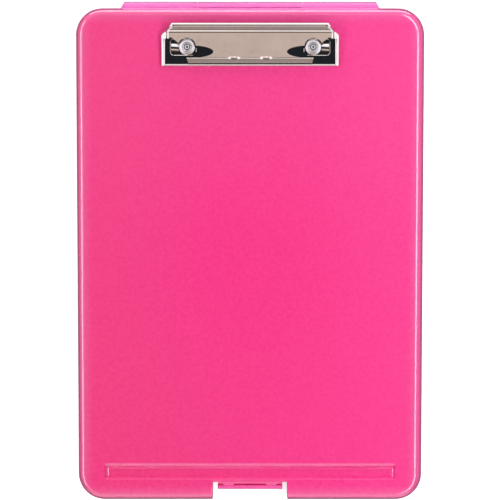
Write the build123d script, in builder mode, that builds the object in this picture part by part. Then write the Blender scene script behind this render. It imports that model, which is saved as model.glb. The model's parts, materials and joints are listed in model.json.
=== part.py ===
from build123d import *
import math
import os

# Slim storage clipboard: a hinged moulded cover with a low-profile steel clip
# closes a shallow moulded tray.
# Frame: millimetres, origin at the centre of the rear face outline,
# +X to the right, +Y towards the clip and hinge, +Z out of the writing face.
# Within the clip, "front" is the gripping edge (-Y) and "rear" the hinge side (+Y).

# ------------------------------------------------------- shared dimensions
BOARD_W = 241.3          # 9.5 in across
BOARD_L = 344.0          # board length without the hinge strip
HALF_W = BOARD_W / 2
HALF_L = BOARD_L / 2
CORNER_R = 18.5
PART_Z = 12.6            # parting plane, tray below and cover above
SEAM = 0.25              # gap between the two shells
COVER_Z = PART_Z + SEAM  # underside of the cover's rim
FACE_Z = 20.6            # writing face
TRAY_WALL = 2.2
COVER_SKIN = 2.6
CEILING_Z = FACE_Z - COVER_SKIN

# notch through both shells at the -Y edge
NOTCH_W = 52.4
NOTCH_D = 13.0
NOTCH_Y = -HALF_L + NOTCH_D   # inner wall of the notch
NOTCH_CORNER_R = 0.8          # upright corners at the board's edge

# hinge at the +Y edge
HINGE_Y = HALF_L + 2.3
HINGE_Z = PART_Z
HINGE_R = 2.4
HINGE_HALF = 89.6        # half length of the strip
KNUCKLE_GAP = 0.2
KNUCKLE_X = 36.3         # the tray's centre knuckle runs from -36.3 to 36.3
COVER_KNUCKLE_X = KNUCKLE_X + KNUCKLE_GAP
COVER_KNUCKLE_L = HINGE_HALF - COVER_KNUCKLE_X
KNUCKLE_ROOT = 1.0       # how far a knuckle reaches into its shell
POCKET_R = 2.65
HINGE_PIN_R = 1.0
HINGE_BORE_R = HINGE_PIN_R + 0.05
BORE_OVER = 0.5          # overshoot of the hinge bores at each end

# latch, hung in the notch
LATCH_W = 45.6
LATCH_AXIS_Y = -160.0
LATCH_AXIS_Z = 17.9
LATCH_PIN_R = 1.0
LUG_R = 1.85
LUG_X = (-15.0, 15.0)
LUG_W = 7.0
LUG_GAP = 0.2

# clip, heights H are above the writing face
CLIP_HALF = 60.9         # half width over the base's side flanges
SHEET = 1.0
BASE_TOP = FACE_Z + SHEET
PAD_H = 0.6              # rivet pads above the base's web
PAD_TOP = BASE_TOP + PAD_H
PIVOT_Y = 153.4
PIVOT_H = 3.9
PIVOT_Z = FACE_Z + PIVOT_H
ROD_R = 1.2
ROD_BORE_R = ROD_R + 0.05
RIVET_X = 43.5
RIVET_Y = 145.1
RIVET_SHANK_R = 2.4
RIVET_HOLE_R = RIVET_SHANK_R + 0.08
RIVET_HEAD_R = 5.5
WASHER_R = 6.0
WASHER_T = 0.7
WASHER_Z = CEILING_Z - WASHER_T

os.makedirs("parts", exist_ok=True)


def save(part, name):
    """Label a piece and write its STEP file."""
    part.label = name
    export_step(part, f"parts/{name}.step")


def notch_corners(edges):
    """Upright edges where the notch's sides meet the board's -Y edge."""
    return edges.filter_by(Axis.Z).filter_by(
        lambda e: abs(abs(e.center().X) - NOTCH_W / 2) < 0.1 and e.center().Y < -HALF_L + 0.2
    )


def flat_faces_at(faces, z):
    """Horizontal faces at height z."""
    return faces.filter_by(Plane.XY).filter_by(lambda f: abs(f.center().Z - z) < 0.01)


def above_face(points):
    """Turn (position, height above the writing face) into (position, z)."""
    return [(position, FACE_Z + height) for position, height in points]


# ------------------------------------------------------------------- tray
TRAY_FLOOR = 2.2
TRAY_EDGE_R = 4.5        # rounding of the tray's rear rim
TRAY_FLOOR_R = 1.8
POCKET_END_GAP = 0.3
KNUCKLE_WEB_H = 6.4      # depth of the centre knuckle's web below the axis
RIB_W = 36
RIB_T = 1.2
RIB_Y = NOTCH_Y - 0.4
RIB_Z = 6.6
RIB_H = 2.0

with BuildPart() as rear_tray:
    with BuildSketch(Plane.XY):
        RectangleRounded(BOARD_W, BOARD_L, CORNER_R)
    extrude(amount=PART_Z)
    fillet(rear_tray.faces().sort_by(Axis.Z)[0].edges(), TRAY_EDGE_R)
    # notch through the rim
    with BuildSketch(Plane.XY):
        with Locations((0, -HALF_L)):
            Rectangle(NOTCH_W, 2 * NOTCH_D)
    extrude(amount=PART_Z, mode=Mode.SUBTRACT)
    fillet(notch_corners(rear_tray.edges()), NOTCH_CORNER_R)
    # storage compartment, walled around the notch
    with BuildSketch(Plane.XY.offset(TRAY_FLOOR)):
        RectangleRounded(BOARD_W - 2 * TRAY_WALL, BOARD_L - 2 * TRAY_WALL, CORNER_R - TRAY_WALL)
        with Locations((0, -HALF_L)):
            Rectangle(NOTCH_W + 2 * TRAY_WALL, 2 * (NOTCH_D + TRAY_WALL), mode=Mode.SUBTRACT)
    extrude(amount=PART_Z, mode=Mode.SUBTRACT)
    fillet(flat_faces_at(rear_tray.faces(), TRAY_FLOOR).edges(), TRAY_FLOOR_R)
    # clearance for the cover's knuckles
    for start_x in (-HINGE_HALF - POCKET_END_GAP, KNUCKLE_X):
        with BuildSketch(Plane.YZ.offset(start_x)):
            with Locations((HINGE_Y, HINGE_Z)):
                Circle(POCKET_R)
        extrude(amount=HINGE_HALF + POCKET_END_GAP - KNUCKLE_X, mode=Mode.SUBTRACT)
    # the tray's own centre knuckle
    with BuildSketch(Plane.YZ.offset(-KNUCKLE_X)):
        with BuildLine():
            Polyline(
                (HALF_L - KNUCKLE_ROOT, HINGE_Z - KNUCKLE_WEB_H),
                (HALF_L, HINGE_Z - KNUCKLE_WEB_H),
                (HINGE_Y - 0.1, HINGE_Z - HINGE_R + 0.02),
                (HINGE_Y, HINGE_Z),
                (HALF_L - KNUCKLE_ROOT, HINGE_Z),
                close=True,
            )
        make_face()
        with Locations((HINGE_Y, HINGE_Z)):
            Circle(HINGE_R)
    extrude(amount=2 * KNUCKLE_X)
    with BuildSketch(Plane.YZ.offset(-KNUCKLE_X - BORE_OVER)):
        with Locations((HINGE_Y, HINGE_Z)):
            Circle(HINGE_BORE_R)
    extrude(amount=2 * (KNUCKLE_X + BORE_OVER), mode=Mode.SUBTRACT)
    # catch rib for the latch nose
    with BuildSketch(Plane.XY.offset(RIB_Z)):
        with Locations((0, RIB_Y)):
            Rectangle(RIB_W, RIB_T)
    extrude(amount=RIB_H)
save(rear_tray.part, "rear_tray")

# -------------------------------------- pen groove, a body cut from the cover
GROOVE_W = 204.0
GROOVE_TOP_Y = -144.9    # start of the gentle slope
GROOVE_FLOOR_Y = -149.4
GROOVE_LOW_Y = -155.1    # foot of the steep wall
GROOVE_BOT_Y = -157.0
GROOVE_DEEP = 2.6
GROOVE_Z = FACE_Z - GROOVE_DEEP
GROOVE_CORNER_R = 3.0

with BuildPart() as pen_groove:
    # gentle slope on the +Y side, flat floor, steep wall on the -Y side
    with BuildSketch(Plane.YZ.offset(-GROOVE_W / 2)):
        with BuildLine():
            Spline(
                (GROOVE_TOP_Y, FACE_Z),
                (GROOVE_TOP_Y - 2.2, FACE_Z - 0.75),
                (GROOVE_FLOOR_Y + 0.6, GROOVE_Z + 0.45),
                (GROOVE_FLOOR_Y - 0.6, GROOVE_Z),
                tangents=((-1, -0.12), (-1, -0.05)),
            )
            Polyline(
                (GROOVE_FLOOR_Y - 0.6, GROOVE_Z),
                (GROOVE_LOW_Y, GROOVE_Z),
                (GROOVE_BOT_Y + 0.5, FACE_Z),
                (GROOVE_BOT_Y + 0.5, FACE_Z + 2),
                (GROOVE_TOP_Y, FACE_Z + 2),
                (GROOVE_TOP_Y, FACE_Z),
            )
        make_face()
    extrude(amount=GROOVE_W)
    # rounded corners in plan
    with BuildSketch(Plane.XY.offset(GROOVE_Z)):
        with Locations((0, (GROOVE_TOP_Y + GROOVE_BOT_Y) / 2)):
            RectangleRounded(GROOVE_W, GROOVE_TOP_Y - GROOVE_BOT_Y + 1.0, GROOVE_CORNER_R)
    extrude(amount=6.0, mode=Mode.INTERSECT)
    # scooped ends
    with BuildSketch(Plane.XZ.offset(-GROOVE_TOP_Y - 2)):
        with BuildLine():
            FilletPolyline(
                (-GROOVE_W / 2 - 1.5, FACE_Z + 2.5),
                (-GROOVE_W / 2 + 1.3, GROOVE_Z),
                (GROOVE_W / 2 - 1.3, GROOVE_Z),
                (GROOVE_W / 2 + 1.5, FACE_Z + 2.5),
                radius=(0, 3.0, 3.0, 0),
                close=True,
            )
        make_face()
    extrude(amount=20, both=True, mode=Mode.INTERSECT)

# ------------------------------------------------------------------ cover
COVER_WALL = 2.2
COVER_EDGE_R = 5.6       # rounding of the cover's rim
COVER_CEILING_R = 3.2
NOTCH_TOP_R = 1.6        # top edge of the notch's inner wall
GROOVE_SKIN = 2.0        # wall under the pen groove
# slab that makes the wall under the groove
SLAB_Y0 = GROOVE_BOT_Y - 1.0
SLAB_Y1 = GROOVE_TOP_Y - 4.0
LIP_L = 280
LIP_T = 1.4
LIP_GAP = 0.3            # between the lip and the tray's wall
LIP_DROP = 1.8           # below the parting plane
LIP_H = 4.6
LIP_LEDGE_T = 1.8        # ledge joining the lip to the cover's wall
STRIP_BEVEL = 2.6        # slant at the two ends of the hinge strip
BOSS_Y = -161.0
BOSS_GAP = 0.2           # boss ends inside the latch ends
BOSS_BORE_INSET = 2.0
SLOT_L = 3.0             # slots under the lugs, along Y

with BuildPart() as front_cover:
    with BuildSketch(Plane.XY.offset(COVER_Z)):
        RectangleRounded(BOARD_W, BOARD_L, CORNER_R)
    extrude(amount=FACE_Z - COVER_Z)
    fillet(front_cover.faces().sort_by(Axis.Z)[-1].edges(), COVER_EDGE_R)
    with BuildSketch(Plane.XY.offset(COVER_Z)):
        with Locations((0, -HALF_L)):
            Rectangle(NOTCH_W, 2 * NOTCH_D)
    extrude(amount=FACE_Z, mode=Mode.SUBTRACT)
    writing_face = front_cover.faces().filter_by(Plane.XY).sort_by(Axis.Z)[-1]
    notch_top_edge = writing_face.edges().filter_by(
        lambda e: abs(e.center().X) < NOTCH_W / 2 + 0.1 and abs(e.center().Y - NOTCH_Y) < 0.05
    )
    fillet(notch_top_edge, NOTCH_TOP_R)
    fillet(notch_corners(front_cover.edges()), NOTCH_CORNER_R)
    # underside hollow
    with BuildSketch(Plane.XY.offset(COVER_Z)):
        RectangleRounded(
            BOARD_W - 2 * COVER_WALL, BOARD_L - 2 * COVER_WALL - 1.0, CORNER_R - COVER_WALL
        )
        with Locations((0, -HALF_L)):
            Rectangle(NOTCH_W + 2 * COVER_WALL, 2 * (NOTCH_D + COVER_WALL), mode=Mode.SUBTRACT)
    extrude(amount=CEILING_Z - COVER_Z, mode=Mode.SUBTRACT)
    fillet(flat_faces_at(front_cover.faces(), CEILING_Z).edges(), COVER_CEILING_R)
    # keep a wall under the pen groove, then cut the groove
    with BuildSketch(Plane.XY.offset(GROOVE_Z - GROOVE_SKIN)):
        with Locations((0, (SLAB_Y1 + SLAB_Y0) / 2)):
            RectangleRounded(GROOVE_W + 3.0, SLAB_Y1 - SLAB_Y0, GROOVE_CORNER_R)
    extrude(amount=GROOVE_SKIN + 0.6)
    add(pen_groove.part, mode=Mode.SUBTRACT)
    # locating lip along the two long sides, inside the tray's walls
    for side in (-1, 1):
        with BuildSketch(Plane.XY.offset(PART_Z - LIP_DROP)):
            with Locations((side * (HALF_W - TRAY_WALL - LIP_GAP - LIP_T / 2), 0)):
                Rectangle(LIP_T, LIP_L)
        extrude(amount=LIP_H)
        with BuildSketch(Plane.XY.offset(COVER_Z + 0.6)):
            with Locations((side * (HALF_W - TRAY_WALL - 0.8), 0)):
                Rectangle(LIP_LEDGE_T, LIP_L)
        extrude(amount=2.0)
    # clearance for the tray's knuckle
    with BuildSketch(Plane.YZ.offset(-COVER_KNUCKLE_X)):
        with Locations((HINGE_Y, HINGE_Z)):
            Circle(POCKET_R)
    extrude(amount=2 * COVER_KNUCKLE_X, mode=Mode.SUBTRACT)
    # the cover's two knuckles
    for start_x in (-HINGE_HALF, COVER_KNUCKLE_X):
        with BuildSketch(Plane.YZ.offset(start_x)):
            with BuildLine():
                Polyline(
                    (HALF_L - KNUCKLE_ROOT, HINGE_Z + 1.75),
                    (HINGE_Y - 1.0, HINGE_Z + 1.75),
                    (HINGE_Y, HINGE_Z),
                    (HINGE_Y - 1.9, COVER_Z),
                    (HALF_L - KNUCKLE_ROOT, COVER_Z),
                    close=True,
                )
            make_face()
            with Locations((HINGE_Y, HINGE_Z)):
                Circle(HINGE_R)
        extrude(amount=COVER_KNUCKLE_L)
        with BuildSketch(Plane.YZ.offset(start_x - BORE_OVER)):
            with Locations((HINGE_Y, HINGE_Z)):
                Circle(HINGE_BORE_R)
        extrude(amount=COVER_KNUCKLE_L + 2 * BORE_OVER, mode=Mode.SUBTRACT)
    # slanted ends of the hinge strip
    for side in (-1, 1):
        with BuildSketch(Plane.XY.offset(HINGE_Z - 5)):
            with BuildLine():
                Polyline(
                    (side * (HINGE_HALF + 2), HALF_L + 0.05),
                    (side * HINGE_HALF, HALF_L + 0.05),
                    (side * (HINGE_HALF - STRIP_BEVEL), HALF_L + 4.8),
                    (side * (HINGE_HALF - STRIP_BEVEL), HALF_L + 8),
                    (side * (HINGE_HALF + 2), HALF_L + 8),
                    close=True,
                )
            make_face()
        extrude(amount=12, mode=Mode.SUBTRACT)
    # boss on the notch wall that carries the latch pin
    with BuildSketch(Plane.YZ.offset(-LATCH_W / 2 + BOSS_GAP)):
        with BuildLine():
            Polyline(
                (NOTCH_Y + 1.0, COVER_Z + 1.0),
                (NOTCH_Y + 1.0, FACE_Z - 0.4),
                (NOTCH_Y + 0.2, FACE_Z - 0.2),
                (NOTCH_Y - 1.0, FACE_Z - 0.75),
                (BOSS_Y, FACE_Z - 2.2),
                (BOSS_Y, COVER_Z + 1.0),
                close=True,
            )
        make_face()
    extrude(amount=LATCH_W - 2 * BOSS_GAP)
    with BuildSketch(Plane.YZ.offset(-LATCH_W / 2 + BOSS_BORE_INSET)):
        with Locations((LATCH_AXIS_Y, LATCH_AXIS_Z)):
            Circle(LATCH_PIN_R + 0.05)
    extrude(amount=LATCH_W, mode=Mode.SUBTRACT)
    # slots for the latch lugs, open towards -Y
    for lug_x in LUG_X:
        with BuildSketch(Plane.YZ.offset(lug_x - LUG_W / 2 - LUG_GAP)):
            with Locations((LATCH_AXIS_Y, LATCH_AXIS_Z)):
                Circle(LUG_R + LUG_GAP)
            for drop in (0.3, 1.5):
                with Locations((LATCH_AXIS_Y - SLOT_L / 2, LATCH_AXIS_Z - drop)):
                    Rectangle(SLOT_L, 2 * LUG_R + 0.1)
        extrude(amount=LUG_W + 2 * LUG_GAP, mode=Mode.SUBTRACT)
    # rivet holes
    with Locations((-RIVET_X, RIVET_Y, FACE_Z), (RIVET_X, RIVET_Y, FACE_Z)):
        Hole(RIVET_HOLE_R, depth=COVER_SKIN + 1.0)
save(front_cover.part, "front_cover")

# -------------------------------------------------------------- hinge pins
PIN_END_INSET = 4.6      # from the strip's end
PIN_MID_INSET = 4.0      # from the middle of the board
PIN_L = HINGE_HALF - PIN_END_INSET - PIN_MID_INSET
PIN_CHAMFER = 0.3

for name, start_x in (
    ("hinge_pin_left", -HINGE_HALF + PIN_END_INSET),
    ("hinge_pin_right", PIN_MID_INSET),
):
    with BuildPart() as hinge_pin:
        with BuildSketch(Plane.YZ.offset(start_x)):
            with Locations((HINGE_Y, HINGE_Z)):
                Circle(HINGE_PIN_R)
        extrude(amount=PIN_L)
        chamfer(hinge_pin.edges().filter_by(GeomType.CIRCLE), PIN_CHAMFER)
    save(hinge_pin.part, name)

# ------------------------------------------------------------------ latch
LATCH_INNER_Y = -161.25  # side facing the notch wall
LATCH_OUTER_Y = -164.2
LATCH_TOP_Z = 19.6
LATCH_BOT_Z = 3.0
LATCH_END_R = 0.35
NOSE_W = 35.0
NOSE_TOP_Z = 6.3
NOSE_ROOT_Y = LATCH_INNER_Y - 0.6
NOSE_TIP_Y = NOTCH_Y - 1.05
LATCH_PIN_INSET = 2.3    # pin ends inside the latch ends

with BuildPart() as latch:
    with BuildSketch(Plane.YZ.offset(-LATCH_W / 2)):
        with BuildLine():
            FilletPolyline(
                (LATCH_INNER_Y, LATCH_BOT_Z + 2.6),
                (LATCH_INNER_Y, LATCH_TOP_Z),
                (LATCH_OUTER_Y, LATCH_TOP_Z),
                (LATCH_OUTER_Y, LATCH_TOP_Z - 3.2),
                (LATCH_OUTER_Y + 0.9, LATCH_BOT_Z + 5.2),
                (LATCH_OUTER_Y + 0.1, LATCH_BOT_Z + 1.6),
                (LATCH_OUTER_Y + 0.1, LATCH_BOT_Z),
                (LATCH_INNER_Y - 0.4, LATCH_BOT_Z),
                radius=(0.5, 1.3, 1.2, 2.5, 4.0, 1.2, 0.8, 0.5),
                close=True,
            )
        make_face()
    extrude(amount=LATCH_W)
    fillet(latch.faces().filter_by(Axis.X).edges(), LATCH_END_R)
    # nose that sits under the tray's catch rib
    with BuildSketch(Plane.YZ.offset(-NOSE_W / 2)):
        with BuildLine():
            Polyline(
                (NOSE_ROOT_Y, NOSE_TOP_Z),
                (NOSE_TIP_Y, NOSE_TOP_Z),
                (NOSE_TIP_Y, 5.5),
                (NOSE_ROOT_Y, 4.2),
                close=True,
            )
        make_face()
    extrude(amount=NOSE_W)
    # lugs around the latch pin
    for lug_x in LUG_X:
        with BuildSketch(Plane.YZ.offset(lug_x - LUG_W / 2)):
            with Locations((LATCH_AXIS_Y, LATCH_AXIS_Z)):
                Circle(LUG_R)
            with Locations((LATCH_AXIS_Y - 0.9, LATCH_AXIS_Z - 1.0)):
                Rectangle(1.8, 2 * LUG_R - 1.6)
        extrude(amount=LUG_W)
        with BuildSketch(Plane.YZ.offset(lug_x - LUG_W / 2 - 1)):
            with Locations((LATCH_AXIS_Y, LATCH_AXIS_Z)):
                Circle(LATCH_PIN_R + 0.06)
        extrude(amount=LUG_W + 2, mode=Mode.SUBTRACT)
save(latch.part, "latch")

with BuildPart() as latch_pin:
    with BuildSketch(Plane.YZ.offset(-LATCH_W / 2 + LATCH_PIN_INSET)):
        with Locations((LATCH_AXIS_Y, LATCH_AXIS_Z)):
            Circle(LATCH_PIN_R)
    extrude(amount=LATCH_W - 2 * LATCH_PIN_INSET)
save(latch_pin.part, "latch_pin")

# -------------------------------------------------------------- clip base
BASE_Y0 = 132.2          # front edge
BASE_Y1 = 160.0          # rear edge
BASE_CHAMFER = 7.2       # 45-degree cut of the rear corners
CHAMFER_OVER = 3         # overshoot of that cut
FLANGE_H = 5.6
FLANGE_X = CLIP_HALF - SHEET / 2   # middle of the flange sheet
FLANGE_BEND_R = 1.7
TOP_SLANT = 0.26         # outward slant of the flange tops
HEM = 0.3                # folded-over inner layer of the side flanges
HEM_BITE = 0.4           # overlap of the hem into the flange
HEM_X = CLIP_HALF - SHEET - HEM / 2 + HEM_BITE / 2
EAR_T = 2.6
EAR_TOP_H = PIVOT_H + 1.9
PAD_SIZE = (18.4, 11.8)
PAD_X = RIVET_X + 2.6
PAD_SINK = 0.2
STEP_X = 49.2            # inner end of the crowned steps
STEP_L = 5.2
STEP_R = 9.6
STEP_CROWN = 0.42        # above the pads
STEP_Y = RIVET_Y - 0.7
BEAD_R = 0.62
BEAD_INSET = 1.4
# region removed above the flanges: (y, height above the face)
FLANGE_CUT = (
    (BASE_Y0 - 1, 12), (BASE_Y0 - 1, 1.3), (BASE_Y0 + 0.4, 2.3), (BASE_Y0 + 2.6, 3.1),
    (PIVOT_Y - 6.0, 3.8), (PIVOT_Y - 3.0, 5.2), (BASE_Y1 + 1, 5.2), (BASE_Y1 + 1, 12),
)
FLANGE_CUT_BENDS = (0, 0, 1.2, 2.0, 2.0, 0, 0, 0)
# ear side profile: (y, height above the face)
EAR_PATH = (
    (PIVOT_Y - 3.0, 0.1), (PIVOT_Y - 3.0, EAR_TOP_H),
    (PIVOT_Y + 2.4, EAR_TOP_H), (PIVOT_Y + 2.4, 0.1),
)
EAR_BENDS = (0, 1.2, 1.9, 0)

with BuildPart() as clip_base:
    # channel section: flat web with bent-up side flanges
    with BuildSketch(Plane.XZ.offset(-BASE_Y1)):
        with BuildLine():
            FilletPolyline(
                (-FLANGE_X, FACE_Z + FLANGE_H),
                (-FLANGE_X, FACE_Z + SHEET / 2),
                (FLANGE_X, FACE_Z + SHEET / 2),
                (FLANGE_X, FACE_Z + FLANGE_H),
                radius=FLANGE_BEND_R,
            )
            offset(amount=SHEET / 2, side=Side.BOTH, kind=Kind.INTERSECTION)
        make_face()
        with Locations((-HEM_X, FACE_Z + 3.4), (HEM_X, FACE_Z + 3.4)):
            Rectangle(HEM + HEM_BITE, 5.4)
    extrude(amount=BASE_Y1 - BASE_Y0)
    # flanges: low at the front, rising to the pivot, tops slanting outwards
    for side in (-1, 1):
        with BuildSketch(Plane.YZ.offset(side * (CLIP_HALF + 1))):
            with BuildLine():
                FilletPolyline(*above_face(FLANGE_CUT), radius=FLANGE_CUT_BENDS, close=True)
            make_face()
        extrude(amount=3.4, dir=(-side, 0, TOP_SLANT), mode=Mode.SUBTRACT)
    # inward ears that carry the rod, then the cut rear corners
    for side in (-1, 1):
        with BuildSketch(Plane.YZ.offset(side * FLANGE_X)):
            with BuildLine():
                FilletPolyline(*above_face(EAR_PATH), radius=EAR_BENDS, close=True)
            make_face()
        extrude(amount=EAR_T * math.hypot(1, TOP_SLANT), dir=(-side, 0, TOP_SLANT))
        with BuildSketch(Plane.XY.offset(FACE_Z - 1)):
            with BuildLine():
                Polyline(
                    (side * (CLIP_HALF + CHAMFER_OVER), BASE_Y1 - BASE_CHAMFER - CHAMFER_OVER),
                    (side * (CLIP_HALF + CHAMFER_OVER), BASE_Y1 + CHAMFER_OVER),
                    (side * (CLIP_HALF - BASE_CHAMFER - CHAMFER_OVER), BASE_Y1 + CHAMFER_OVER),
                    close=True,
                )
            make_face()
        extrude(amount=14, mode=Mode.SUBTRACT)
    # raised pads under the rivet heads
    with BuildSketch(Plane.XY.offset(BASE_TOP - PAD_SINK)):
        with Locations((-PAD_X, RIVET_Y - 0.1), (PAD_X, RIVET_Y - 0.1)):
            RectangleRounded(*PAD_SIZE, 2.6)
    extrude(amount=PAD_SINK + PAD_H, taper=30)
    # crowned steps beside the rivet heads
    for start_x in (-STEP_X - STEP_L, STEP_X):
        with BuildSketch(Plane.YZ.offset(start_x)):
            with Locations((STEP_Y, PAD_TOP + STEP_CROWN - STEP_R)):
                Circle(STEP_R)
            with Locations((STEP_Y, BASE_TOP + 0.3 - 10)):
                Rectangle(40, 20, mode=Mode.SUBTRACT)
        extrude(amount=STEP_L)
    # bead along the front edge
    with BuildSketch(Plane.YZ.offset(-CLIP_HALF + BEAD_INSET)):
        with Locations((BASE_Y0 + 0.5, FACE_Z + 0.78)):
            Circle(BEAD_R)
    extrude(amount=2 * (CLIP_HALF - BEAD_INSET))
    # rod holes and rivet holes
    with BuildSketch(Plane.YZ.offset(-CLIP_HALF - 1)):
        with Locations((PIVOT_Y, PIVOT_Z)):
            Circle(ROD_BORE_R)
    extrude(amount=2 * CLIP_HALF + 2, mode=Mode.SUBTRACT)
    with Locations((-RIVET_X, RIVET_Y, FACE_Z + 3), (RIVET_X, RIVET_Y, FACE_Z + 3)):
        Hole(RIVET_HOLE_R, depth=6)
save(clip_base.part, "clip_base")

# ------------------------------------------------------------ lever cheeks
LEVER_HALF_REAR = 53.7
LEVER_HALF_EAR = 57.2
LEVER_REAR_Y = 160.9
CHEEK_T = 1.25
CHEEK_INNER = LEVER_HALF_EAR - CHEEK_T
CHEEK_REAR_INNER = LEVER_HALF_REAR - CHEEK_T
CHEEK_FRONT_Y = 150.9
CHEEK_SLANT = 0.45       # outward slant of the cheek tops, the bend from plate to cheek
# cheek in plan: (distance from the centreline, y)
CHEEK_PLAN = (
    (LEVER_HALF_REAR, LEVER_REAR_Y), (LEVER_HALF_EAR - 0.4, 156.4), (LEVER_HALF_EAR, 155.4),
    (LEVER_HALF_EAR, CHEEK_FRONT_Y), (CHEEK_INNER, CHEEK_FRONT_Y), (CHEEK_INNER, 155.2),
    (CHEEK_INNER - 0.4, 156.0), (CHEEK_REAR_INNER - 0.1, LEVER_REAR_Y),
)
# region removed above the cheeks: (y, height above the face)
CHEEK_TOP_CUT = (
    (140.0, 18.0), (140.0, 4.6), (155.7, 6.9), (159.4, 8.95),
    (160.4, 8.4), (163.0, 5.0), (165.0, 5.0), (165.0, 18.0),
)
CHEEK_TOP_BENDS = (0, 0, 1.6, 0.7, 0.6, 0, 0, 0)
# cheek side outline: (y, height above the face)
CHEEK_SIDE = (
    (150.4, 12.0), (CHEEK_FRONT_Y, 3.9), (PIVOT_Y - 1.6, PIVOT_H - 2.25),
    (PIVOT_Y + 1.9, PIVOT_H - 2.25), (156.6, PIVOT_H + 0.9), (160.0, 8.7),
    (161.1, 9.4), (161.1, 12.0),
)
CHEEK_SIDE_BENDS = (0, 0.8, 1.2, 1.6, 1.5, 0.4, 0, 0)

with BuildPart() as lever_cheeks:
    # the two cheeks follow the slanted ends of the plate
    with BuildSketch(Plane.XY.offset(FACE_Z + 1.3)):
        for side in (-1, 1):
            with BuildLine():
                Polyline([(side * x, y) for x, y in CHEEK_PLAN], close=True)
            make_face()
    extrude(amount=12)
    # the tops fall outwards, like the bend they are
    for side in (-1, 1):
        with BuildSketch(Plane.YZ.offset(side * (LEVER_HALF_EAR + 1))):
            with BuildLine():
                FilletPolyline(*above_face(CHEEK_TOP_CUT), radius=CHEEK_TOP_BENDS, close=True)
            make_face()
        extrude(amount=9.0, dir=(-side, 0, CHEEK_SLANT), mode=Mode.SUBTRACT)
    with BuildSketch(Plane.YZ.offset(-LEVER_HALF_EAR - 1)):
        with BuildLine():
            FilletPolyline(*above_face(CHEEK_SIDE), radius=CHEEK_SIDE_BENDS, close=True)
        make_face()
    extrude(amount=2 * LEVER_HALF_EAR + 2, mode=Mode.INTERSECT)

# ------------------------------------------------------------- clip lever
LEVER_T = 0.9
LIP_HALF = 42.4          # half width of the gripping edge
CUT_Z = FACE_Z - 1       # plan cuts run from here
CUT_H = 16
# side profile of the pressed plate: (y, height above the face) and bend radii
LEVER_PATH = (
    (134.5, 1.62), (137.55, 4.37), (155.9, 7.16), (159.6, 10.61), (160.95, 9.95), (160.85, 8.7),
)
LEVER_BENDS = (1.6, 4.2, 1.4, 0.5)
# left half of the planform, rear to front: (x, y)
LEVER_PLAN = [
    (-LEVER_HALF_REAR, 163), (-LEVER_HALF_REAR, LEVER_REAR_Y),
    (-LEVER_HALF_EAR + 0.4, 156.4), (-LEVER_HALF_EAR, 155.4), (-LEVER_HALF_EAR, 151.4),
    (-LEVER_HALF_EAR + 3.4, 151.4), (-49.0, 147.4), (-45.0, 144.6),
    (-44.0, 139.2), (-LIP_HALF - 1.2, 137.2), (-LIP_HALF, 133.0),
]
# relief slot: (distance from the centreline, y)
RELIEF_PLAN = (
    (CHEEK_REAR_INNER + 0.45, 159.7), (CHEEK_REAR_INNER - 0.8, 159.7),
    (CHEEK_INNER - 2.1, 156.9), (CHEEK_INNER - 0.75, 156.9),
)
DIMPLE_X = 11.0
DIMPLE_L = 12.6
DIMPLE_Y = 136.75        # revolve axis of the dimples, just above the bend
DIMPLE_H = 6.07

with BuildPart() as clip_lever:
    with BuildSketch(Plane.YZ.offset(-LEVER_HALF_EAR)):
        with BuildLine():
            FilletPolyline(*above_face(LEVER_PATH), radius=LEVER_BENDS)
            offset(amount=LEVER_T / 2, side=Side.BOTH)
        make_face()
    extrude(amount=2 * LEVER_HALF_EAR)
    # planform
    with BuildSketch(Plane.XY.offset(CUT_Z)):
        with BuildLine():
            Polyline(LEVER_PLAN + [(-x, y) for x, y in reversed(LEVER_PLAN)], close=True)
        make_face()
    extrude(amount=CUT_H, mode=Mode.INTERSECT)
    # clearance round the rivet heads and elliptical cut-outs running in from them
    with BuildSketch(Plane.XY.offset(CUT_Z)):
        for side in (-1, 1):
            with Locations((side * RIVET_X, RIVET_Y)):
                Circle(RIVET_HEAD_R + 0.7)
        for side in (-1, 1):
            with Locations((side * 40.4, 141.75)):
                Ellipse(15.1, 4.2)
            with Locations((side * 46.4, 141.6)):
                Rectangle(12.0, 8.1)
    extrude(amount=CUT_H, mode=Mode.SUBTRACT)
    # relief slots where the rear slope meets the cheeks
    with BuildSketch(Plane.XY.offset(CUT_Z)):
        for side in (-1, 1):
            with BuildLine():
                Polyline([(side * x, y) for x, y in RELIEF_PLAN], close=True)
            make_face()
    extrude(amount=CUT_H, mode=Mode.SUBTRACT)
    # two dimples across the front bend
    for dimple_x in (-DIMPLE_X, DIMPLE_X):
        with BuildSketch(Plane.XY.offset(FACE_Z + DIMPLE_H)):
            with BuildLine():
                Spline(
                    (dimple_x - DIMPLE_L / 2, DIMPLE_Y),
                    (dimple_x - DIMPLE_L / 4, DIMPLE_Y - 1.9),
                    (dimple_x, DIMPLE_Y - 2.1),
                    (dimple_x + DIMPLE_L / 4, DIMPLE_Y - 1.9),
                    (dimple_x + DIMPLE_L / 2, DIMPLE_Y),
                )
                Line((dimple_x + DIMPLE_L / 2, DIMPLE_Y), (dimple_x - DIMPLE_L / 2, DIMPLE_Y))
            make_face()
        revolve(
            axis=Axis((0, DIMPLE_Y, FACE_Z + DIMPLE_H), (1, 0, 0)),
            revolution_arc=360,
            mode=Mode.SUBTRACT,
        )
    # bent-down cheeks with the rod holes
    add(lever_cheeks.part)
    with BuildSketch(Plane.YZ.offset(-CLIP_HALF - 1)):
        with Locations((PIVOT_Y, PIVOT_Z)):
            Circle(ROD_BORE_R)
    extrude(amount=2 * CLIP_HALF + 2, mode=Mode.SUBTRACT)
save(clip_lever.part, "clip_lever")

# --------------------------------------------------------------- pivot rod
ROD_INSET = 0.5          # rod ends inside the flanges' outer faces
ROD_END_R = 0.3

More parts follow.
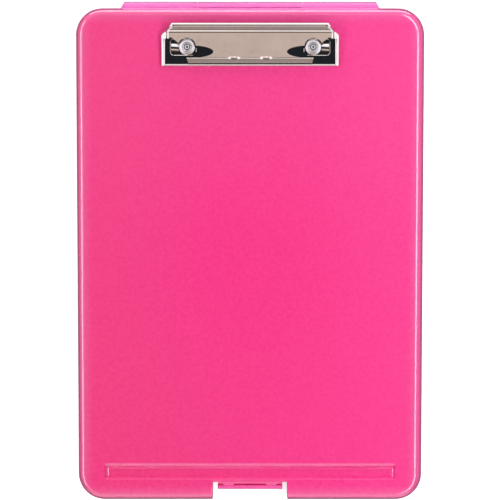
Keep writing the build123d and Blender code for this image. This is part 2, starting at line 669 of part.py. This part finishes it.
with BuildPart() as clip_pivot_rod:
    with BuildSketch(Plane.YZ.offset(-CLIP_HALF + ROD_INSET)):
        with Locations((PIVOT_Y, PIVOT_Z)):
            Circle(ROD_R)
    extrude(amount=2 * (CLIP_HALF - ROD_INSET))
    fillet(clip_pivot_rod.edges().filter_by(GeomType.CIRCLE), ROD_END_R)
save(clip_pivot_rod.part, "clip_pivot_rod")

# ----------------------------------------------------------------- springs
COIL_R = 1.85
WIRE_R = 0.42
PITCH = 1.0
COIL_L = PITCH * 9       # nine turns
SPRING_X = 22.0          # outer end of each coil


def make_spring(name, start_x):
    """Coil around the rod, one leg forward on the base, one under the lever."""
    centre = (start_x, PIVOT_Y, PIVOT_Z)
    with BuildPart() as spring:
        with BuildLine() as coil:
            Helix(pitch=PITCH, height=COIL_L, radius=COIL_R, center=centre, direction=(1, 0, 0))
        start, end = coil.line @ 0, coil.line @ 1
        with BuildSketch(Plane(origin=start, z_dir=coil.line % 0)):
            Circle(WIRE_R)
        sweep(path=coil.line, is_frenet=True)
        for root, tip in (
            (start, (start.X, PIVOT_Y - 9.0, BASE_TOP + 0.7)),
            (end, (end.X, PIVOT_Y - 8.0, FACE_Z + 4.4)),
        ):
            with BuildLine() as leg:
                Line(tuple(root), tip)
            with BuildSketch(Plane(origin=tuple(root), z_dir=leg.line % 0)):
                Circle(WIRE_R)
            sweep(path=leg.line)
        with Locations(tuple(start), tuple(end)):
            Sphere(WIRE_R)
    save(spring.part, name)


make_spring("clip_spring_left", -SPRING_X)
make_spring("clip_spring_right", SPRING_X - COIL_L)

# ------------------------------------------------- rivets and their washers
TAIL_R = 4.0
TAIL_T = 0.9
# half section of a rivet from the foot of its axis: (radius, z) and corner radii
RIVET_SECTION = (
    (0, WASHER_Z - TAIL_T), (TAIL_R, WASHER_Z - TAIL_T), (TAIL_R, WASHER_Z),
    (RIVET_SHANK_R, WASHER_Z), (RIVET_SHANK_R, PAD_TOP),
    (RIVET_HEAD_R, PAD_TOP), (RIVET_HEAD_R - 0.1, PAD_TOP + 0.75),
    (3.55, PAD_TOP + 1.05), (3.05, PAD_TOP + 0.55), (2.65, PAD_TOP + 1.65),
    (1.35, PAD_TOP + 1.65), (0.95, PAD_TOP + 0.75), (0, PAD_TOP + 0.75),
)
RIVET_BENDS = (0, 0.4, 0, 0, 0, 0.15, 0.45, 0.3, 0.18, 0.5, 0.4, 0.25, 0)

for hand, rivet_x in (("left", -RIVET_X), ("right", RIVET_X)):
    with BuildPart() as rivet:
        with BuildSketch(Plane.XZ.offset(-RIVET_Y)):
            with BuildLine():
                FilletPolyline(
                    *[(rivet_x + radius, z) for radius, z in RIVET_SECTION],
                    radius=RIVET_BENDS,
                    close=True,
                )
            make_face()
        revolve(axis=Axis((rivet_x, RIVET_Y, 0), (0, 0, 1)), revolution_arc=360)
    save(rivet.part, f"clip_rivet_{hand}")

    with BuildPart() as washer:
        with BuildSketch(Plane.XY.offset(WASHER_Z)):
            with Locations((rivet_x, RIVET_Y)):
                Circle(WASHER_R)
                Circle(RIVET_HOLE_R, mode=Mode.SUBTRACT)
        extrude(amount=WASHER_T)
    save(washer.part, f"rivet_washer_{hand}")
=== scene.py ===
"""Moulded pink clipboard case with a plated steel clip, on a white studio table.

The case lies flat with its cover facing +Z and its long side along Y: the hinge
strip is at the +Y end and the latch at the -Y end. +X is right in the view.
"""
import json
import math
from types import SimpleNamespace

import bpy
from mathutils import Matrix, Vector

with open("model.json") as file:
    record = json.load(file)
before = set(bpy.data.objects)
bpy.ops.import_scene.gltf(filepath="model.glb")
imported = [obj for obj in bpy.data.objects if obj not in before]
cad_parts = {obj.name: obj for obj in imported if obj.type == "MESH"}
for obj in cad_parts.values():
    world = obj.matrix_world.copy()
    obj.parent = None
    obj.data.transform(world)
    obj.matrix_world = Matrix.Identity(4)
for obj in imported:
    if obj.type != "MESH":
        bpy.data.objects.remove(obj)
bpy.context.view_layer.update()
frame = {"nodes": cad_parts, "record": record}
scene = bpy.context.scene
pieces = frame["nodes"]

# Half extents over which painted shade deepens the tint towards the middle of the sheet
SHEET_HALF_WIDTH = 0.115
SHEET_HALF_LENGTH = 0.165

WELD_DISTANCE = 2e-6
SHELLS = ("front_cover", "rear_tray")
# Width of the broken edge on each thin piece
EDGE_ROUND = {"clip_base": 0.00026, "clip_lever": 0.00022, "latch": 0.00015}

FLOOR_SIZE = 12
FLOOR_Z = -0.0002
LIGHT_DISTANCE = 3.0


# ------------------------------------------------------------- shader graphs
def opaque(colour):
    """RGBA of an RGB triple; a socket passes through."""
    if isinstance(colour, bpy.types.NodeSocket):
        return colour
    return (*colour, 1.0)


class ShaderGraph:
    """An emptied node tree with its output node, and short ways to add to it."""

    def __init__(self, owner, output_kind):
        owner.use_nodes = True
        self.tree = owner.node_tree
        self.tree.nodes.clear()
        self.output = self.new(output_kind)

    def feed(self, node, inputs):
        """Link or set each input, keyed by name or index."""
        for key, value in inputs.items():
            if isinstance(value, bpy.types.NodeSocket):
                self.tree.links.new(value, node.inputs[key])
            else:
                node.inputs[key].default_value = value

    def new(self, kind, inputs=None, **properties):
        node = self.tree.nodes.new(kind)
        for name, value in properties.items():
            setattr(node, name, value)
        self.feed(node, inputs or {})
        return node

    def split(self, vector):
        return list(self.new("ShaderNodeSeparateXYZ", {0: vector}).outputs)

    def math(self, operation, *values):
        inputs = dict(enumerate(values))
        return self.new("ShaderNodeMath", inputs, operation=operation).outputs[0]

    def noise(self, vector, scale, detail, roughness, stretch=None):
        if stretch:
            mapping = self.new("ShaderNodeMapping", {"Vector": vector, "Scale": stretch})
            vector = mapping.outputs["Vector"]
        return self.new("ShaderNodeTexNoise", {
            "Vector": vector, "Scale": scale, "Detail": detail, "Roughness": roughness,
        }).outputs["Fac"]

    def remap(self, value, start, end, low=0.0, high=1.0, curve="LINEAR"):
        return self.new("ShaderNodeMapRange", {
            "Value": value, "From Min": start, "From Max": end, "To Min": low, "To Max": high,
        }, interpolation_type=curve).outputs["Result"]

    def rise(self, value, start, end):
        """Smooth step from 0 to 1."""
        return self.remap(value, start, end, curve="SMOOTHSTEP")

    def fall(self, value, start, end):
        """Smooth step from 1 to 0."""
        return self.math("SUBTRACT", 1.0, self.rise(value, start, end))

    def band(self, value, rise, fall):
        """1 between a rising and a falling step, 0 outside them."""
        return self.math("MULTIPLY", self.rise(value, *rise), self.fall(value, *fall))

    def mix(self, factor, first, second):
        inputs = {0: factor, 6: opaque(first), 7: opaque(second)}
        return self.new("ShaderNodeMix", inputs, data_type="RGBA").outputs[2]

    def tint(self, base, mask, weight, colour):
        """Blend a colour over the base, by a mask scaled by a weight."""
        return self.mix(self.math("MULTIPLY", mask, weight), base, colour)

    def bump(self, height, strength, distance, normal=None):
        inputs = {"Strength": strength, "Distance": distance, "Height": height}
        if normal is not None:
            inputs["Normal"] = normal
        return self.new("ShaderNodeBump", inputs).outputs["Normal"]


def new_material(name):
    """A material, its graph, and the Principled shader that feeds its output."""
    material = bpy.data.materials.new(name)
    graph = ShaderGraph(material, "ShaderNodeOutputMaterial")
    shader = graph.new("ShaderNodeBsdfPrincipled")
    graph.feed(graph.output, {"Surface": shader.outputs["BSDF"]})
    return material, graph, shader


def object_coordinates(graph):
    return graph.new("ShaderNodeTexCoord").outputs["Object"]


# ------------------------------------------------------------------- plastic
def sheet_painted_light(graph, place, fine, left, right, middle):
    """Painted light and shade over the whole moulding: a slow drift of the tint from left to
    right, deepest in the middle, paler towards +Y.
    """
    # painted light, shifting the tint from left to right
    across = graph.rise(place.x, start=-0.110, end=0.110)
    base = graph.mix(across, left, right)

    # painted shade, deepest in the middle of the sheet
    ratio_x = graph.math("DIVIDE", place.x, SHEET_HALF_WIDTH)
    ratio_y = graph.math("DIVIDE", place.y, SHEET_HALF_LENGTH)
    squares = graph.math(
        "ADD", graph.math("MULTIPLY", ratio_x, ratio_x), graph.math("MULTIPLY", ratio_y, ratio_y))
    centre_painted_shade = graph.fall(graph.math("SQRT", squares), start=0.05, end=0.95)
    base = graph.tint(base, centre_painted_shade, weight=0.80, colour=middle)

    # faint painted light, paler towards +Y, and a fine mottle
    top_painted_light = graph.rise(place.y, start=-0.150, end=0.150)
    base = graph.tint(base, top_painted_light, weight=0.045, colour=(1.0, 0.45, 0.75))
    mottle = graph.remap(fine, start=0.50, end=0.80, low=0.0, high=0.05)
    return graph.mix(mottle, base, (1.0, 0.22, 0.50))


def hinge_painted_light_and_shade(graph, place, base):
    """Painted light paling the hinge strip, whose thin walls let more light through, a painted
    highlight over the shaded crease by the cover, and painted shade on the far edge.
    """
    strip = graph.rise(place.y, start=0.1700, end=0.1722)
    base = graph.tint(base, strip, weight=0.95, colour=(0.59, 0.145, 0.40))
    # painted highlight over the shaded crease between the strip and the cover
    crease_painted_light = graph.band(place.y, rise=(0.1708, 0.1716), fall=(0.1734, 0.1744))
    base = graph.tint(base, crease_painted_light, weight=0.80, colour=(0.80, 0.200, 0.560))
    # painted shade on the upward faces along the far edge
    far_edge_painted_shade = graph.rise(place.y, start=0.1751, end=0.1761)
    far_edge_painted_shade = graph.math("MULTIPLY", far_edge_painted_shade, place.facing_up)
    return graph.tint(base, far_edge_painted_shade, weight=0.85, colour=(0.22, 0.038, 0.135))


def rim_painted_light(graph, place, base):
    """Painted light in the rims and in the thin wall of the pen groove, where the rim highlights
    spread.
    """
    rim_light_mask = graph.math(
        "MAXIMUM",
        graph.rise(place.abs_x, start=0.1090, end=0.1165),
        graph.rise(place.y, start=0.1600, end=0.1680))
    base = graph.tint(base, rim_light_mask, weight=0.27, colour=(0.44, 0.140, 0.275))
    # painted light towards the front edge
    front = graph.rise(place.minus_y, start=0.1600, end=0.1700)
    return graph.tint(base, front, weight=0.45, colour=(0.56, 0.130, 0.270))


def front_step_painted_highlight(graph, place, base):
    """Painted highlight on the slope and lip across the top of the shell near its -Y end."""
    inside = graph.fall(place.abs_x, start=0.1005, end=0.1018)
    slope = graph.band(place.minus_y, rise=(0.1449, 0.1458), fall=(0.1484, 0.1496))
    lip = graph.band(place.minus_y, rise=(0.1556, 0.1563), fall=(0.1567, 0.1574))
    top = graph.rise(place.z, start=0.0165, end=0.0175)
    lines = graph.math("MULTIPLY", graph.math("MAXIMUM", slope, lip), inside)
    mask = graph.math("MULTIPLY", lines, top)
    return graph.tint(base, mask, weight=0.36, colour=(0.58, 0.090, 0.235))


def latch_painted_light_and_shade(graph, place, base):
    """Painted light on the upward faces of the latch, and painted shade along its free edge and
    sides.
    """
    # painted light on the upward faces
    base = graph.tint(base, place.facing_up, weight=0.55, colour=(0.62, 0.075, 0.270))
    # painted shade on the upward faces along the free edge and the sides
    tip_painted_shade = graph.math(
        "MAXIMUM",
        graph.rise(place.minus_y, start=0.1626, end=0.1636),
        graph.rise(place.abs_x, start=0.0216, end=0.0224))
    tip_painted_shade = graph.math("MULTIPLY", tip_painted_shade, place.facing_up)
    return graph.tint(base, tip_painted_shade, weight=0.65, colour=(0.32, 0.070, 0.210))


def moulded_edge_painted_shade(graph, place, base):
    """Painted shade on the moulded edge where the wall is seen end-on and turns away from the
    light above.
    """
    facing = graph.new("ShaderNodeLayerWeight", {"Blend": 0.5}).outputs["Facing"]
    grazing = graph.rise(facing, start=0.12, end=0.55)
    sides = graph.rise(place.abs_x, start=0.1120, end=0.1160)
    front = graph.rise(place.minus_y, start=0.1635, end=0.1675)
    back_corners = graph.math(
        "MULTIPLY",
        graph.rise(place.y, start=0.1635, end=0.1675),
        graph.rise(place.abs_x, start=0.086, end=0.090))
    rim = graph.math("MAXIMUM", graph.math("MAXIMUM", sides, front), back_corners)
    mask = graph.math("MULTIPLY", grazing, rim)
    return graph.tint(base, mask, weight=0.85, colour=(0.25, 0.040, 0.108))


def plastic(name, left, right, middle, coat_roughness, is_shell):
    """Glossy translucent plastic; left, right and middle are tints by place that paint uneven
    light over the sheet.
    """
    material, graph, shader = new_material(name)
    texture = graph.new("ShaderNodeTexCoord")
    position = texture.outputs["Object"]
    x, y, z = graph.split(position)
    normal_z = graph.split(texture.outputs["Normal"])[2]
    place = SimpleNamespace(
        x=x, y=y, z=z,
        abs_x=graph.math("ABSOLUTE", x),
        minus_y=graph.math("MULTIPLY", y, -1.0),
        facing_up=graph.rise(normal_z, start=0.25, end=0.55))
    fine = graph.noise(position, scale=420.0, detail=3.0, roughness=0.6)
    micro = graph.noise(position, scale=3200.0, detail=2.0, roughness=0.5)
    flow = graph.noise(
        position, scale=26.0, detail=4.0, roughness=0.6, stretch=(1.0, 0.15, 1.0))

    # painted light and shade are laid into the base colour below
    base = sheet_painted_light(graph, place, fine, left, right, middle)
    if is_shell:
        base = hinge_painted_light_and_shade(graph, place, base)
    base = rim_painted_light(graph, place, base)
    if is_shell:
        base = front_step_painted_highlight(graph, place, base)
    else:
        base = latch_painted_light_and_shade(graph, place, base)
    base = moulded_edge_painted_shade(graph, place, base)

    # the coat loses its shine at the far edge of the hinge strip
    dulled = graph.math("MULTIPLY", graph.rise(y, start=0.1748, end=0.1762), 0.72)
    normal = graph.bump(micro, strength=0.05, distance=0.00001)
    normal = graph.bump(fine, strength=0.05, distance=0.00003, normal=normal)
    normal = graph.bump(flow, strength=0.04, distance=0.0003, normal=normal)
    graph.feed(shader, {
        "Base Color": base,
        "Roughness": graph.remap(fine, start=0.3, end=0.7, low=0.26, high=0.30),
        "IOR": 1.47,
        "Specular IOR Level": 0.09,
        "Coat Weight": graph.math("SUBTRACT", 0.85, dulled),
        "Coat Roughness": graph.remap(
            flow, start=0.3, end=0.7, low=coat_roughness * 0.8, high=coat_roughness * 1.25),
        "Coat IOR": 1.46,
        "Subsurface Weight": 0.12,
        "Subsurface Radius": (1.0, 0.2, 0.45),
        "Subsurface Scale": 0.003,
        "Normal": normal,
        "Coat Normal": normal,
    })
    return material


# --------------------------------------------------------------------- metal
def metal(name, tint, roughness, grain_stretch):
    """Plated steel with a cloudy tint, light tarnish and a stretched grain."""
    material, graph, shader = new_material(name)
    position = object_coordinates(graph)
    cloud = graph.noise(position, scale=45.0, detail=4.0, roughness=0.6)
    grain = graph.noise(
        position, scale=300.0, detail=3.0, roughness=0.6, stretch=grain_stretch)
    spots = graph.noise(position, scale=1400.0, detail=2.0, roughness=0.5)
    stains = graph.noise(position, scale=180.0, detail=5.0, roughness=0.7)

    dark = tuple(channel * 0.90 for channel in tint)
    base = graph.mix(graph.remap(cloud, start=0.3, end=0.7), tint, dark)
    tarnish = graph.remap(stains, start=0.55, end=0.75, low=0.0, high=0.35)
    normal = graph.bump(grain, strength=0.05, distance=0.00001)
    graph.feed(shader, {
        "Base Color": graph.mix(tarnish, base, (0.66, 0.58, 0.52)),
        "Metallic": 1.0,
        "Roughness": graph.remap(
            grain, start=0.3, end=0.7, low=roughness * 0.75, high=roughness * 1.35),
        "Normal": graph.bump(spots, strength=0.04, distance=0.000006, normal=normal),
    })
    return material


# name: tints at the left, right and middle, which paint uneven light over the sheet, coat
# roughness, shell or latch
PLASTICS = {
    "cover_plastic": dict(
        left=(0.530, 0.0195, 0.128), right=(0.575, 0.0125, 0.159),
        middle=(0.560, 0.0090, 0.136), coat_roughness=0.10, is_shell=True),
    "tray_plastic": dict(
        left=(0.520, 0.0165, 0.136), right=(0.555, 0.0160, 0.156),
        middle=(0.540, 0.0130, 0.142), coat_roughness=0.12, is_shell=True),
    "latch_plastic": dict(
        left=(0.60, 0.020, 0.165), right=(0.64, 0.026, 0.185),
        middle=(0.62, 0.023, 0.175), coat_roughness=0.12, is_shell=False),
}
# name, tint, roughness, stretch of the grain along x, y, z
METALS = [
    ("clip_base_steel", (0.83, 0.80, 0.78), 0.055, (1, 14, 14)),
    ("clip_lever_steel", (0.85, 0.80, 0.77), 0.06, (1, 14, 14)),
    ("rivet_steel", (0.74, 0.74, 0.76), 0.14, (1, 1, 1)),
    ("pin_steel", (0.66, 0.65, 0.64), 0.22, (1, 12, 12)),
    ("spring_steel", (0.45, 0.44, 0.44), 0.26, (4, 4, 4)),
]
materials = {name: plastic(name, **finish) for name, finish in PLASTICS.items()}
for name, *finish in METALS:
    materials[name] = metal(name, *finish)


# -------------------------------------------------------------------- pieces
def add_modifier(piece, name, kind, **settings):
    modifier = piece.modifiers.new(name, kind)
    for key, value in settings.items():
        setattr(modifier, key, value)


def round_edges(piece, width):
    """Break the edges of a thin piece and keep its faces flat."""
    add_modifier(piece, "weld", "WELD", merge_threshold=WELD_DISTANCE)
    add_modifier(
        piece, "edge_round", "BEVEL", limit_method="ANGLE", angle_limit=math.radians(32),
        width=width, segments=3, use_clamp_overlap=True, harden_normals=False,
        miter_outer="MITER_ARC")
    add_modifier(
        piece, "flat_faces", "WEIGHTED_NORMAL", mode="FACE_AREA", weight=60, keep_sharp=True)


def crisp_edges(piece):
    """Sharpen the shading of a shell, whose fillets are already in its mesh."""
    add_modifier(piece, "weld", "WELD", merge_threshold=WELD_DISTANCE)
    add_modifier(
        piece, "crisp_edges", "EDGE_SPLIT", split_angle=math.radians(33), use_edge_sharp=False)
    add_modifier(
        piece, "flat_faces", "WEIGHTED_NORMAL", mode="FACE_AREA", weight=100, thresh=2e-5)


slots = {part["node"]: part["material_slot"] for part in frame["record"]["subparts"]}
for name, piece in pieces.items():
    piece.data.materials.clear()
    piece.data.materials.append(materials[slots[name]])
    if name in EDGE_ROUND:
        round_edges(piece, EDGE_ROUND[name])
    elif name in SHELLS:
        crisp_edges(piece)


# --------------------------------------------------------------------- floor
def floor_material():
    material, graph, shader = new_material("studio_floor")
    position = object_coordinates(graph)
    soft = graph.noise(position, scale=3.0, detail=3.0, roughness=0.5)
    grit = graph.noise(position, scale=400.0, detail=3.0, roughness=0.5)
    graph.feed(shader, {
        "Base Color": graph.mix(soft, (0.88, 0.88, 0.88), (0.92, 0.92, 0.92)),
        "Roughness": 0.8,
        "Specular IOR Level": 0.1,
        "Emission Color": (1, 1, 1, 1),
        "Emission Strength": 0.35,
        "Normal": graph.bump(grit, strength=0.05, distance=0.001),
    })
    # toned down in reflections, like dark cards set beside the product
    dim = graph.new("ShaderNodeEmission", {"Color": (0.30, 0.29, 0.29, 1)})
    glossy = graph.new("ShaderNodeLightPath").outputs["Is Glossy Ray"]
    surface = graph.new(
        "ShaderNodeMixShader", {0: glossy, 1: shader.outputs[0], 2: dim.outputs[0]})
    graph.feed(graph.output, {"Surface": surface.outputs[0]})
    return material


bpy.ops.mesh.primitive_plane_add(size=FLOOR_SIZE, location=(0, 0, FLOOR_Z))
floor = bpy.context.object
floor.name = "studio_floor"
floor.data.materials.append(floor_material())


# -------------------------------------------------------------------- lights
def placement(x_axis, y_axis, z_axis, origin):
    """World matrix from three axes and an origin."""
    rows = [(x_axis[i], y_axis[i], z_axis[i], origin[i]) for i in range(3)]
    return Matrix((*rows, (0, 0, 0, 1)))


def soft_box(name, side, off_vertical, width, length, radiance):
    """Area light aimed at the origin, tilted off the vertical towards a side.

    A box to the left or right has its length along Y; one to the front or
    back has its width along X.
    """
    data = bpy.data.lights.new(name, "AREA")
    data.shape = "RECTANGLE"
    data.size = width
    data.size_y = length
    data.energy = radiance * math.pi * width * length
    light = bpy.data.objects.new(name, data)
    scene.collection.objects.link(light)

    tilt = math.radians(off_vertical)
    direction = Vector((side[0] * math.sin(tilt), side[1] * math.sin(tilt), math.cos(tilt)))
    z_axis = direction.normalized()
    up = Vector((0, 1, 0) if side[0] else (0, 0, 1))
    x_axis = up.cross(z_axis)
    x_axis.normalize()
    y_axis = z_axis.cross(x_axis)
    light.matrix_world = placement(x_axis, y_axis, z_axis, z_axis * LIGHT_DISTANCE)
    return light


RIGHT, LEFT, BACK, FRONT = (1, 0), (-1, 0), (0, 1), (0, -1)
# name, side, degrees off the vertical, width, length, radiance
MODELLING_LIGHTS = [
    ("key_right", RIGHT, 29, 0.42, 3.6, 15.5),
    ("fill_left", LEFT, 47, 0.62, 3.2, 7.0),
    ("rim_top", BACK, 72, 3.6, 1.1, 6.5),
    ("front_soft", FRONT, 46, 3.4, 1.5, 1.5),
]
HIGHLIGHT_STRIPS = [
    ("strip_right", RIGHT, 22, 0.95, 3.8, 15.0),
    ("strip_left", LEFT, 45, 0.75, 3.6, 13.0),
    ("strip_top", BACK, 79, 3.8, 1.15, 11.0),
    ("strip_front_high", FRONT, 40, 4.0, 1.7, 1.7),
    ("strip_front_low", FRONT, 72, 4.0, 1.7, 2.2),
]

lit_shells = bpy.data.collections.new("lit_shells")
for name in (*SHELLS, "latch"):
    lit_shells.objects.link(pieces[name])

# even modelling light, kept out of the reflections
for row in MODELLING_LIGHTS:
    soft_box(*row).visible_glossy = False

# strips that only draw highlights along the moulded rims
for row in HIGHLIGHT_STRIPS:
    strip = soft_box(*row)
    strip.visible_diffuse = False
    strip.light_linking.receiver_collection = lit_shells

# --------------------------------------------------------------------- world
# Degrees from the vertical towards -Y, and the tent's colour there. The dark
# opening round the camera and the bands give the steel something to reflect.
TENT_BANDS = [
    (-90, (1.30, 1.22, 1.26)), (-60, (1.55, 1.45, 1.50)), (-16, (1.20, 1.12, 1.16)),
    (-8, (0.016, 0.018, 0.022)), (4, (0.015, 0.018, 0.022)), (8, (0.67, 0.55, 0.50)),
    (17, (0.65, 0.53, 0.48)), (22, (0.065, 0.045, 0.038)), (42, (0.065, 0.045, 0.038)),
    (47, (1.75, 1.60, 1.55)), (62, (1.60, 1.48, 1.45)), (65, (0.025, 0.018, 0.015)),
    (77, (0.030, 0.022, 0.018)), (81, (0.38, 0.31, 0.29)), (90, (0.34, 0.29, 0.28)),
]
TENT_SIDES = (1.30, 1.22, 1.27)
TENT_DIFFUSE = (0.45, 0.445, 0.445)


def build_world():
    world = bpy.data.worlds.new("studio")
    scene.world = world
    graph = ShaderGraph(world, "ShaderNodeOutputWorld")
    x, y, z = graph.split(graph.new("ShaderNodeTexCoord").outputs["Generated"])
    angle = graph.math("ARCTAN2", graph.math("MULTIPLY", y, -1.0), z)
    along = graph.remap(angle, start=-math.pi / 2, end=math.pi / 2)
    ramp = graph.new("ShaderNodeValToRGB", {"Fac": along})
    elements = ramp.color_ramp.elements
    while len(elements) < len(TENT_BANDS):
        elements.new(0.5)
    for element, (degrees, colour) in zip(elements, TENT_BANDS):
        element.position = (degrees + 90) / 180
        element.color = opaque(colour)
    side = graph.rise(graph.math("ABSOLUTE", x), start=0.13, end=0.30)
    tent = graph.mix(side, ramp.outputs["Color"], TENT_SIDES)

    # the bands only show in reflections; diffuse light comes from an even tent
    glossy = graph.new("ShaderNodeLightPath").outputs["Is Glossy Ray"]
    colour = graph.mix(glossy, TENT_DIFFUSE, tent)
    background = graph.new("ShaderNodeBackground", {"Color": colour, "Strength": 1.0})
    graph.feed(graph.output, {"Surface": background.outputs[0]})


build_world()

# -------------------------------------------------------------------- camera
CAMERA_TARGET = Vector((-0.00005, 0.0042, 0.0150))
CAMERA_DISTANCE = 1.300
CAMERA_TILT = math.radians(4.27)  # off the vertical, towards +Y
CAMERA_ROLL = math.radians(0.018)


def build_camera():
    data = bpy.data.cameras.new("camera")
    camera = bpy.data.objects.new("camera", data)
    scene.collection.objects.link(camera)
    scene.camera = camera
    data.sensor_width = 36.0
    data.lens = 133.956
    data.clip_start = 0.01
    data.clip_end = 50

    tilted = Vector((0, math.sin(CAMERA_TILT), math.cos(CAMERA_TILT)))
    location = CAMERA_TARGET + tilted * CAMERA_DISTANCE
    forward = (CAMERA_TARGET - location).normalized()
    right = Vector((1, 0, 0))
    up = right.cross(forward).normalized()
    cosine, sine = math.cos(CAMERA_ROLL), math.sin(CAMERA_ROLL)
    camera.matrix_world = placement(
        right * cosine + up * sine, -right * sine + up * cosine, -forward, location)


build_camera()

scene.view_settings.view_transform = "Standard"
scene.view_settings.look = "None"
scene.view_settings.exposure = 0.0
scene.view_settings.gamma = 1.0
